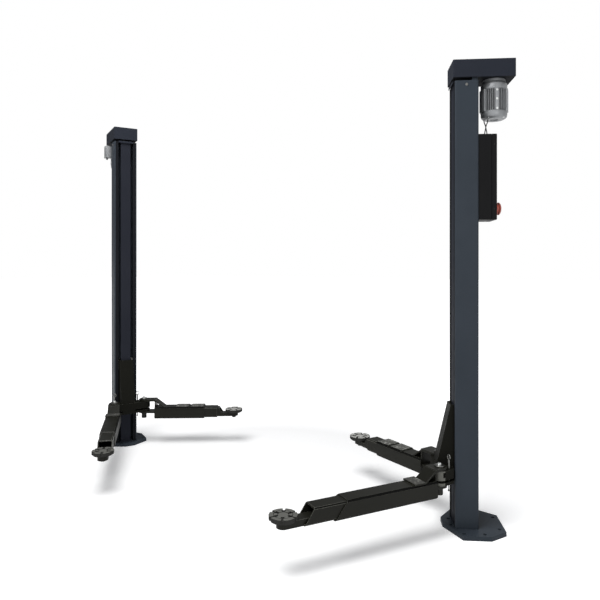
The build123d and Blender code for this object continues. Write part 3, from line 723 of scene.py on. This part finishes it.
@dataclass
class Motor:
    """Finned motor under the head, with cast bells, foot pads, ridges and screws.

    Angles are in degrees round the motor's upright axis, from the post's u.
    """

    side: Side
    centre_u: float = 235.0
    top: float = 2560.0
    length: float = 222.0
    radius: float = 75.0
    fin_depth: float = 8.0
    fin_width: float = 2.4
    lower_bell: float = 42.0
    upper_bell: float = 58.0
    fins: int = 44
    clear_deg: float = 3.0
    ridge_angles: tuple[float, ...] = (90.0, 270.0)
    ridge_half: float = 10.0
    pad_angles: tuple[float, ...] = (-18.0, 198.0)
    pad_half: float = 27.0
    pad_rise: float = 2.0
    terminal_low: Point = (205.0, -125.0, 2436.0)
    terminal_high: Point = (265.0, -69.0, 2537.0)
    gland_w: float = -108.3
    # radii of the bells, of the neck under the head and of the lower bolts' circle, as shares of the motor's radius
    bell_share: float = 0.97
    neck_share: float = 0.86
    bolt_share: float = 0.8

    def castings(self, bm: BMesh) -> None:
        """Turn the two bells and the core between them.

        Args:
            bm: Shape of the castings.
        """
        bottom = self.top - self.length
        low = bottom + self.lower_bell
        high = self.top - self.upper_bell
        core = self.radius - self.fin_depth
        bell = self.radius * self.bell_share
        neck = self.radius * self.neck_share
        lower = [
            (0, bottom + 5), (20.5, bottom + 5), (22, bottom + 4), (22.5, bottom + 0.8), (24, bottom), (46, bottom),
            (55, bottom + 1.5), (64, bottom + 6), (69.5, bottom + 12), (bell - 1, bottom + 19), (bell, bottom + 25),
            (bell, low - 3), (bell - 1.5, low - 1), (core + 3, low), (core, low + 2),
        ]
        upper = [
            (core, high - 2), (core + 3, high), (bell - 1.5, high + 1), (bell, high + 3), (bell, self.top - 28),
            (bell - 2, self.top - 22), (self.radius * 0.88, self.top - 15), (neck, self.top - 13), (neck, self.top),
            (0, self.top),
        ]
        add_turned(bm, lower + upper, shift(self.centre_u, 0, 0), 96)
        # the core between the bells takes the darker enamel: painted shade between the fins
        for face in bm.faces:
            if low + 1 < face.calc_center_median().z < high - 1:
                face.material_index = 1

    def ribs(self, bm: BMesh) -> None:
        """Set the cooling fins, the flat ridges and the two foot pads round the core.

        Args:
            bm: Shape of the castings.
        """
        # angle, half the width, how far out and edge radius of each block
        bottom = self.top - self.length + self.lower_bell - 2
        top = self.top - self.upper_bell + 2
        core = self.radius - self.fin_depth
        blocks = [(angle, self.ridge_half, self.radius, 1.5) for angle in self.ridge_angles]
        blocks += [(angle, self.pad_half, self.radius + self.pad_rise, 2.0) for angle in self.pad_angles]
        wide = tuple(blocks)
        for index in range(self.fins):
            angle = 360 / self.fins * (index + 0.5)
            near = [abs((angle - other + 180) % 360 - 180) - degrees(half / self.radius) for other, half, _, _ in wide]
            if min(near) > self.clear_deg:
                blocks.append((angle, self.fin_width / 2, self.radius, 0.5))
        for angle, half, reach, edge in blocks:
            part = bmesh.new()
            add_block(part, (core - 12, -half, bottom), (reach, half, top), edge, 1 if edge < 1 else 3)
            turn = shift(self.centre_u, 0, 0) @ Matrix.Rotation(radians(angle), 4, "Z")
            bmesh.ops.transform(part, matrix=turn, verts=part.verts)
            join(bm, part)

    def terminal_box(self, bm: BMesh) -> None:
        """Add the terminal box with its lid and gland.

        Args:
            bm: Shape of the castings.
        """
        low, high = self.terminal_low, self.terminal_high
        add_block(bm, low, high, 4.0, 3)
        lid = (low[0] - 0.8, low[1] - 0.2, low[2] - 0.8), (high[0] + 0.8, low[1] + 9, high[2] + 0.8)
        add_block(bm, *lid, 2.0)
        gland = [(0, 0), (9, 0), (9, 9), (7.5, 11), (6.5, 16), (0, 16)]
        add_turned(bm, gland, shift(self.centre_u, self.gland_w, low[2]) @ Matrix.Rotation(pi, 4, "X"), 24)

    def screws(self, bm: BMesh) -> None:
        """Put three screws in each ridge, four bolts in the lower bell and four screws in the terminal box's lid.

        Args:
            bm: Shape of the screws.
        """
        bottom = self.top - self.length
        for angle in self.ridge_angles:
            turn = shift(self.centre_u, 0, 0) @ Matrix.Rotation(radians(angle), 4, "Z")
            for z in (bottom + 50, bottom + 103, self.top - 69):
                place = turn @ shift(self.radius - 0.5, 0, z) @ Matrix.Rotation(pi / 2, 4, "Y")
                add_turned(bm, [(0, 0), (6, 0), (6, 2), (5, 3), (2.6, 3), (2.6, 0.8), (0, 0.8)], place, 20)
        for quarter in range(4):
            turn = shift(self.centre_u, 0, 0) @ Matrix.Rotation(radians(45 + 90 * quarter), 4, "Z")
            place = turn @ shift(self.radius * self.bolt_share, 0, bottom + 8) @ Matrix.Rotation(pi, 4, "X")
            add_hex(bm, place, across=10.0, height=5.0)
        if self.side is Side.LEFT:
            for u in (self.terminal_low[0] + 7, self.terminal_high[0] - 7):
                for z in (self.terminal_low[2] + 7, self.terminal_high[2] - 7):
                    place = shift(u, self.terminal_low[1] - 0.2, z) @ Matrix.Rotation(pi / 2, 4, "X")
                    add_turned(bm, [(0, 0), (3.6, 0), (3.6, 1.4), (3, 2), (0, 2)], place, 16)

    def build(self) -> list[bpy.types.Object]:
        """Build the motor.

        Returns:
            The castings and the screws.
        """
        word = self.side.word
        bm = bmesh.new()
        self.castings(bm)
        self.ribs(bm)
        if self.side is Side.LEFT:
            self.terminal_box(bm)
        finishes = [Finish.MOTOR, Finish.MOTOR_PAINTED_SHADE]
        body = to_piece(bm, f"{word}_motor_castings", post_matrix(self.side), finishes, "posts")
        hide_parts(f"{word}_motor")
        bm = bmesh.new()
        self.screws(bm)
        screws = to_piece(bm, f"{word}_motor_screws", post_matrix(self.side), [Finish.ZINC], "posts")
        return [body, screws]


@dataclass
class ControlBox:
    """Electrical box on the right column: case, main switch, glands and motor leads."""

    front: float = 232.0
    seam: float = 202.0
    half_w: float = 85.0
    top: float = 2243.0
    bottom: float = 1760.0
    switch_z: float = 1824.0
    switch_w: float = -42.5
    switch_radius: float = 36.0
    switch_depth: float = 28.0
    motor_bottom: float = 2338.0
    lead_radius: float = 3.0
    lead_u: float = 190.0
    lead_w: float = 8.0
    lead_cross: float = 9.0
    lead_sunk: float = 3.0

    def case(self) -> list[bpy.types.Object]:
        """Dress the case."""
        return [softened_copy("right_control_box", "right_control_box_case", 1.5, [Finish.BOX_BLACK], "posts")]

    def switch(self) -> list[bpy.types.Object]:
        """Turn the main switch: a wide collar, a dark groove and a domed button with a stiffening bar.

        Returns:
            The switch.
        """
        place = post_matrix(Side.RIGHT) @ shift(self.front, self.switch_w, self.switch_z)
        place = place @ Matrix.Rotation(pi / 2, 4, "Y")
        r, d = self.switch_radius, self.switch_depth
        bm = bmesh.new()
        collar = [(0, 0), (r, 0), (r, d * 0.34), (r - 1.5, d * 0.38), (r - 7, d * 0.4), (r - 7, d * 0.52)]
        dome = [(r - 1.5, d * 0.54), (r, d * 0.58), (r - 1, d * 0.72), (r - 5, d * 0.86), (r - 12, d), (r - 20, d)]
        add_turned(bm, collar + dome + [(0, d)], Matrix.Identity(4), 64)
        for face in bm.faces:
            if d * 0.39 < face.calc_center_median().z < d * 0.53:
                face.material_index = 1
        add_block(bm, (-r + 14, -5.5, d - 6), (r - 14, 5.5, d - 0.4), 2.0, 3)
        piece = to_piece(bm, "right_main_switch_button", place, [Finish.SWITCH_RED, Finish.SHEATH], "posts")
        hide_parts("right_main_switch")
        return [piece]

    def glands(self) -> list[bpy.types.Object]:
        """Set the small glands that the leads enter, and the lid's screws.

        Returns:
            The glands and the screws.
        """
        bm = bmesh.new()
        for side in (-1, 1):
            place = shift(self.lead_u + side * self.lead_cross, side * self.lead_w, self.top)
            add_turned(bm, [(3.1, 0), (6.5, 0), (6.5, 3), (5.5, 5), (3.1, 6), (3.1, 0)], place, 24)
        piece = to_piece(bm, "right_control_box_glands", post_matrix(Side.RIGHT), [Finish.SHEATH], "posts")
        bm = bmesh.new()
        for w in (-1, 1):
            for z in (self.bottom + 60, self.top - 60):
                place = shift((self.seam + self.front) / 2, w * self.half_w, z)
                place = place @ Matrix.Rotation(-w * pi / 2, 4, "X")
                add_turned(bm, [(0, 0), (3.4, 0), (3.4, 0.8), (2.8, 1.4), (1, 1.4), (1, 0.6), (0, 0.6)], place, 20)
        screws = to_piece(bm, "right_control_box_screws", post_matrix(Side.RIGHT), [Finish.BLACKENED], "posts")
        return [piece, screws]

    def leads(self) -> list[bpy.types.Object]:
        """Run the two short leads, which cross on their way from the box to the motor's bell.

        Returns:
            The leads.
        """
        pieces = []
        span = self.motor_bottom + self.lead_sunk - self.top
        for side in (-1, 1):
            curve = bpy.data.curves.new(f"lead_{side}", "CURVE")
            curve.dimensions = "3D"
            curve.bevel_depth = self.lead_radius * MM
            curve.bevel_resolution = 4
            curve.resolution_u = 12
            spline = curve.splines.new("NURBS")
            low, high = self.lead_u + side * self.lead_cross, self.lead_u - side * self.lead_cross
            # share of the way up, place along u and spread along w of each point
            steps = [(0.0, low, 1.0), (0.2, low, 1.0), (0.5, self.lead_u + 2 * side, 0.8), (0.66, self.lead_u, 0.8),
                     (0.85, high, 1.0), (1.0, high, 1.0)]
            spline.points.add(len(steps) - 1)
            for point, (share, u, spread) in zip(spline.points, steps):
                place = post_matrix(Side.RIGHT) @ Vector((u, side * self.lead_w * spread, self.top + share * span))
                point.co = (*place, 1)
            spline.order_u = 3
            spline.use_endpoint_u = True
            line = bpy.data.objects.new(f"right_motor_lead_{'ab'[side > 0]}", curve)
            bpy.context.scene.collection.objects.link(line)
            curve.materials.append(material_of(Finish.SHEATH))
            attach(line, "posts")
            pieces.append(line)
        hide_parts("right_motor_cables")
        return pieces

    def build(self) -> list[bpy.types.Object]:
        """Build the box.

        Returns:
            Its pieces.
        """
        return self.case() + self.switch() + self.glands() + self.leads()


@dataclass
class Carriage:
    """Welded carriage with its pins, lock rods and guide shoes."""

    side: Side
    pin_top: float = 389.6
    pin_head: float = 8.0
    washer: float = 2.5
    beam_end_w: float = -150.0
    # a face leans toward the long arm when its unit normal has less than this along w
    lean: float = -0.0009

    def beam_end_highlight(self, face: BMFace) -> int:
        """Set apart the crossbeam's rounded end under the long arm, which takes the paler paint as a painted
        highlight.

        Args:
            face: A face in metres in the row frame.

        Returns:
            The slot.
        """
        back = post_matrix(self.side).inverted()
        leans = (back.to_3x3() @ face.normal).normalized().y < self.lean
        return int(leans and (back @ face.calc_center_median()).y < self.beam_end_w)

    def pin_heads(self, face: BMFace) -> int:
        """Set the heads of the pivot pins apart from their shafts.

        Args:
            face: A face in metres in the row frame.

        Returns:
            The slot.
        """
        return int(face.calc_center_median().z > (self.pin_top - self.pin_head) * MM)

    def build(self) -> list[bpy.types.Object]:
        """Build the carriage's pieces.

        Returns:
            The pieces.
        """
        word = self.side.word
        body = f"{word}_carriage_unit"
        pieces = [
            # slot 1 is the paler paint: a painted highlight on the rounded edges and on the crossbeam's end
            softened_copy(f"{word}_carriage", f"{word}_carriage_weldment", 1.8,
                          [Finish.CARRIAGE_BLACK, Finish.BLACK_EDGE_HIGHLIGHT], body, segments=3, paint=self.beam_end_highlight,
                          highlight_slot=1),
            softened_copy(f"{word}_pivot_pins", f"{word}_pivot_pins_turned", 0.8, [Finish.BLACKENED, Finish.OILED],
                          body, paint=self.pin_heads),
            softened_copy(f"{word}_arm_locks", f"{word}_arm_lock_rods", 0.3, [Finish.OILED], body),
            softened_copy(f"{word}_guide_shoes", f"{word}_guide_shoes_moulded", 0.8, [Finish.NYLON], body),
        ]
        bm = bmesh.new()
        for arm in Arm:
            place = shift(*arm.value, self.pin_top)
            add_washer(bm, place, radius=15.0, thickness=self.washer, bore=6.0)
            add_hex(bm, place @ shift(0, 0, self.washer), across=17.0, height=9.0)
        bolts = to_piece(bm, f"{word}_pin_bolts", post_matrix(self.side), [Finish.ZINC], body)
        return pieces + [bolts]


@dataclass
class LiftPad:
    """Round rubber pad with two rings of raised lobes round a hub, on its steel dish."""

    side: Side
    arm: Arm
    radius: float = 71.0
    top: float = 294.0
    thickness: float = 22.0
    relief: float = 7.0
    lobes: int = 6
    base_radius: float = 66.0
    notch: float = 11.0
    pocket: float = 17.0
    seam: float = 2.0
    turn_deg: float = 2.0
    # edges of a lobe that turn by more than this are rounded
    rim_deg: float = 50.0
    rim_radius: float = 1.8
    # where the outer and the inner ring begin, as shares of the radius
    outer_ring: float = 0.68
    inner_ring: float = 0.4

    @property
    def reach(self) -> float:
        """Distance of the pad from the arm's pivot."""
        return 960.0 if self.arm is Arm.LONG else 755.0

    def lobe_ring(self, bm: BMesh, inner: float, outer: float, gap: float, floor: float) -> None:
        """Cut a ring into raised lobes with rounded corners.

        Args:
            bm: Shape that gets the lobes, round the pad's own axis.
            inner: Inner radius of the ring.
            outer: Outer radius of the ring.
            gap: Width of the grooves between the lobes.
            floor: Height of the lobes' underside.
        """
        step = 360 / self.lobes
        half = degrees(gap / (inner + outer))
        for index in range(self.lobes):
            part = bmesh.new()
            corners = ((inner, floor), (outer, floor), (outer, self.top), (inner, self.top))
            face = part.faces.new([part.verts.new((r, 0, z)) for r, z in corners])
            turn = Matrix.Rotation(radians(self.turn_deg + index * step + half), 3, "Z")
            bmesh.ops.rotate(part, verts=part.verts, cent=(0, 0, 0), matrix=turn)
            bmesh.ops.spin(part, geom=[face, *face.edges, *face.verts], axis=(0, 0, 1), cent=(0, 0, 0),
                           angle=radians(step - 2 * half), steps=6, use_merge=False, use_duplicate=False)
            bmesh.ops.recalc_face_normals(part, faces=part.faces)
            for item in part.faces:
                if item.normal.z > UP:
                    item.material_index = 1
            rim = [e for e in part.edges if len(e.link_faces) == 2 and e.calc_face_angle(0.0) > radians(self.rim_deg)]
            bmesh.ops.bevel(part, geom=rim, offset=self.rim_radius, segments=2, profile=0.5, affect="EDGES",
                            material=-1, clamp_overlap=True)
            join(bm, part)

    def build(self) -> list[bpy.types.Object]:
        """Build the pad.

        Returns:
            The rubber pad and the dressed screw.
        """
        word = f"{self.side.word}_{self.arm.word}_arm"
        body = f"{word}_support"
        crest = Finish.RUBBER_SCUFFED if self.arm is Arm.LONG else Finish.RUBBER_WORN
        bm = bmesh.new()
        floor = self.top - self.relief
        low = self.top - self.thickness
        outer = self.base_radius
        under = [(0, low + 0.5), (outer - 2, low + 0.5), (outer, low + 2.5)]
        add_turned(bm, under + [(outer, floor - 2), (outer - 2, floor), (0, floor)], Matrix.Identity(4), 96)
        ring, core = self.radius * self.outer_ring, self.radius * self.inner_ring
        self.lobe_ring(bm, ring, self.radius, self.notch, low)
        self.lobe_ring(bm, core, ring - self.seam, self.pocket, floor - 1)
        hub = core - self.seam
        crown = len(bm.faces)
        button = [(0, floor - 1), (hub, floor - 1), (hub, self.top - 2.5), (hub - 2, self.top - 1), (0, self.top - 1)]
        add_turned(bm, button, Matrix.Identity(4), 48)
        bm.faces.ensure_lookup_table()
        for face in bm.faces[crown:]:
            face.material_index = int(face.normal.z > 0.5)
        bmesh.ops.translate(bm, vec=(self.reach, 0, 0), verts=bm.verts)
        pad = to_piece(bm, f"{word}_pad_rubber", arm_matrix(self.side, self.arm), [Finish.RUBBER, crest], body)
        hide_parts(f"{word}_pad")
        screw = softened_copy(f"{word}_pad_screw", f"{word}_pad_screw_steel", 0.8, [Finish.BLACKENED], body)
        return [pad, screw]


@dataclass
class SwingArm:
    """Telescopic arm: its tubes, tread sheets and pad.

    Each tread is where its plate begins and ends along the arm, half the width of its sheet and
    the height of the plate's top.
    """

    side: Side
    arm: Arm
    long_treads: tuple[tuple[float, ...], ...] = ((134.0, 207.0, 52.0, 328.0),)
    short_treads: tuple[tuple[float, ...], ...] = ((273.0, 381.0, 49.0, 325.0), (398.0, 506.0, 49.0, 325.0))
    margin: float = 3.0
    sheet: float = 0.8

    def paint(self, face: BMFace) -> int:
        """Material slot of a face, which gives the folded corners the darker paint as painted shade.

        Args:
            face: A face in metres in the row frame.

        Returns:
            The slot.
        """
        normal = (arm_matrix(self.side, self.arm).inverted().to_3x3() @ face.normal).normalized()
        # a folded corner leans between the top or underside and the flank, and runs along the arm
        slanted = 0.5 < abs(normal.z) < 0.9 and abs(normal.y) > 0.4 and abs(normal.x) < 0.2
        # slot 2 is the darker paint: painted shade on the folded corners
        return 2 if slanted else 0

    def treads(self) -> list[bpy.types.Object]:
        """Lay a gritted sheet on each tread plate.

        Returns:
            The sheets, as one piece.
        """
        bm = bmesh.new()
        for first, last, half, top in self.long_treads if self.arm is Arm.LONG else self.short_treads:
            low = first + self.margin, -half, top - 1
            add_block(bm, low, (last - self.margin, half, top + self.sheet), 0.4, 1)
        word = f"{self.side.word}_{self.arm.word}_arm"
        finish = Finish.TREAD_TRODDEN if self.arm is Arm.LONG else Finish.TREAD
        piece = to_piece(bm, f"{word}_treads", arm_matrix(self.side, self.arm), [finish], f"{word}_tube")
        return [piece]

    def build(self) -> list[bpy.types.Object]:
        """Build the arm.

        Returns:
            Its pieces.
        """
        word = f"{self.side.word}_{self.arm.word}_arm"
        tubes = [("outer", 1.6, "tube"), ("inner", 1.4, "end")]
        if self.arm is Arm.SHORT:
            tubes.append(("middle", 1.4, "mid"))
        # the paler paint is a painted highlight on the rounded edges, the darker one painted shade on the folded
        # corners
        finishes = [Finish.BLACK, Finish.BLACK_EDGE_HIGHLIGHT, Finish.BLACK_PAINTED_SHADE]
        pieces = [softened_copy(f"{word}_{part}", f"{word}_{part}_tube", edge, finishes, f"{word}_{body}",
                                segments=3, paint=self.paint, highlight_slot=1) for part, edge, body in tubes]
        return pieces + self.treads() + LiftPad(self.side, self.arm).build()


# ---------------------------------------------------------------- studio


@dataclass
class Studio:
    """Pale floor, soft lamps, white surroundings and the camera of the photograph."""

    camera_place: Point = (2.458, -3.298, 1.501)
    camera_pan: float = 32.84
    lens: float = 34.534
    shift_y: float = -0.0568
    floor_reach: float = 60.0
    # the floor glows by itself from this share near the lift to fully white this far away
    glow: tuple[float, float] = (0.16, 1.0)
    glow_reach: tuple[float, float] = (1.2, 2.8)
    # directions along X between which shiny paint begins to mirror the white surroundings
    mirror_from: tuple[float, float] = (-0.45, 0.0)
    ambient: float = 0.24

    def camera(self) -> None:
        """Set the camera where the photograph was taken from."""
        data = bpy.data.cameras.new("camera")
        data.sensor_width = 36.0
        data.sensor_fit = "HORIZONTAL"
        data.lens = self.lens
        data.shift_x = 0.0
        data.shift_y = self.shift_y
        camera = bpy.data.objects.new("camera", data)
        camera.location = self.camera_place
        camera.rotation_euler = (pi / 2, 0, radians(self.camera_pan))
        bpy.context.scene.collection.objects.link(camera)
        bpy.context.scene.camera = camera

    def floor(self) -> None:
        """Lay the pale floor, which keeps the lift's shadow and fades to white away from it."""
        bm = bmesh.new()
        bmesh.ops.create_grid(bm, x_segments=1, y_segments=1, size=self.floor_reach)
        mesh = bpy.data.meshes.new("floor")
        bm.to_mesh(mesh)
        bm.free()
        floor = bpy.data.objects.new("floor", mesh)
        bpy.context.scene.collection.objects.link(floor)
        material, tree, where = start_material("pale_floor")
        path = add(tree, "ShaderNodeLightPath", {})
        seen = add(tree, "ShaderNodeMath", {"operation": "MAXIMUM"},
                   {0: path.outputs["Is Camera Ray"], 1: path.outputs["Is Glossy Ray"]})
        away = add(tree, "ShaderNodeVectorMath", {"operation": "LENGTH"}, {0: where.outputs["Object"]})
        (near, far), (dim, full) = self.glow_reach, self.glow
        fade = add(tree, "ShaderNodeMapRange", {"From Min": near, "From Max": far, "To Min": dim, "To Max": full},
                   {"Value": away.outputs["Value"]})
        matt = add(tree, "ShaderNodeBsdfDiffuse", {"Color": linear("#f6f6f6")})
        glow = add(tree, "ShaderNodeEmission", {"Color": (1, 1, 1, 1)}, {"Strength": fade.outputs["Result"]})
        both = add(tree, "ShaderNodeAddShader", {}, {0: matt.outputs[0], 1: glow.outputs[0]})
        mix = add(tree, "ShaderNodeMixShader", {}, {0: seen.outputs[0], 1: matt.outputs[0], 2: both.outputs[0]})
        add(tree, "ShaderNodeOutputMaterial", {}, {"Surface": mix.outputs[0]})
        mesh.materials.append(material)

    def world(self) -> None:
        """Surround the lift with even light that the camera sees as white."""
        world = bpy.data.worlds.new("surroundings")
        bpy.context.scene.world = world
        world.use_nodes = True
        tree = world.node_tree
        tree.nodes.clear()
        path = add(tree, "ShaderNodeLightPath", {})
        where = add(tree, "ShaderNodeTexCoord", {})
        axes = add(tree, "ShaderNodeSeparateXYZ", {}, {0: where.outputs["Generated"]})
        low, high = self.mirror_from
        side = add(tree, "ShaderNodeMapRange", {"From Min": low, "From Max": high, "To Min": 0.0, "To Max": 1.0},
                   {"Value": axes.outputs["X"]})
        shine = add(tree, "ShaderNodeMath", {"operation": "MULTIPLY"},
                    {0: path.outputs["Is Glossy Ray"], 1: side.outputs["Result"]})
        seen = add(tree, "ShaderNodeMath", {"operation": "MAXIMUM"},
                   {0: path.outputs["Is Camera Ray"], 1: shine.outputs[0]})
        light = add(tree, "ShaderNodeBackground", {"Color": linear("#f4f6fa"), "Strength": self.ambient})
        white = add(tree, "ShaderNodeBackground", {"Color": (1, 1, 1, 1), "Strength": 1.0})
        mix = add(tree, "ShaderNodeMixShader", {}, {0: seen.outputs[0], 1: light.outputs[0], 2: white.outputs[0]})
        add(tree, "ShaderNodeOutputWorld", {}, {"Surface": mix.outputs[0]})

    def lamp(self, name: str, place: Point, aim: Point, size: float, power: float) -> None:
        """Hang one square softbox.

        Args:
            name: Name of the lamp.
            place: Where it hangs, in metres.
            aim: Point that it faces.
            size: Length of its side in metres.
            power: Power in watts.
        """
        data = bpy.data.lights.new(name, "AREA")
        data.shape = "SQUARE"
        data.size = size
        data.energy = power
        lamp = bpy.data.objects.new(name, data)
        lamp.location = place
        lamp.rotation_euler = (Vector(aim) - Vector(place)).to_track_quat("-Z", "Y").to_euler()
        bpy.context.scene.collection.objects.link(lamp)

    def build(self) -> None:
        """Build the studio."""
        self.camera()
        self.floor()
        self.world()
        self.lamp("overhead", place=(0.3, -2.3, 5.4), aim=(0.0, -0.1, 0.0), size=3.2, power=330.0)
        self.lamp("front", place=(5.2, -4.9, 1.9), aim=(0.4, 0.0, 1.2), size=2.4, power=64.0)
        bpy.context.scene.view_settings.view_transform = "Standard"


def main() -> None:
    """Build the studio and both posts, and report each piece."""
    logging.basicConfig(level=logging.INFO, format="%(name)s: %(message)s")
    Studio().build()
    pieces: list[bpy.types.Object] = []
    for side in Side:
        pieces += Post(side).build() + Motor(side).build() + Carriage(side).build()
        for arm in Arm:
            pieces += SwingArm(side, arm).build()
    pieces += ControlBox().build()
    total = 0
    for piece in pieces:
        faces = len(piece.data.polygons) if piece.type == "MESH" else 0
        total += faces
        LOG.info("%s has %d faces", piece.name, faces)
    LOG.info("%d pieces, %d faces", len(pieces), total)


if __name__ == "__main__":
    main()
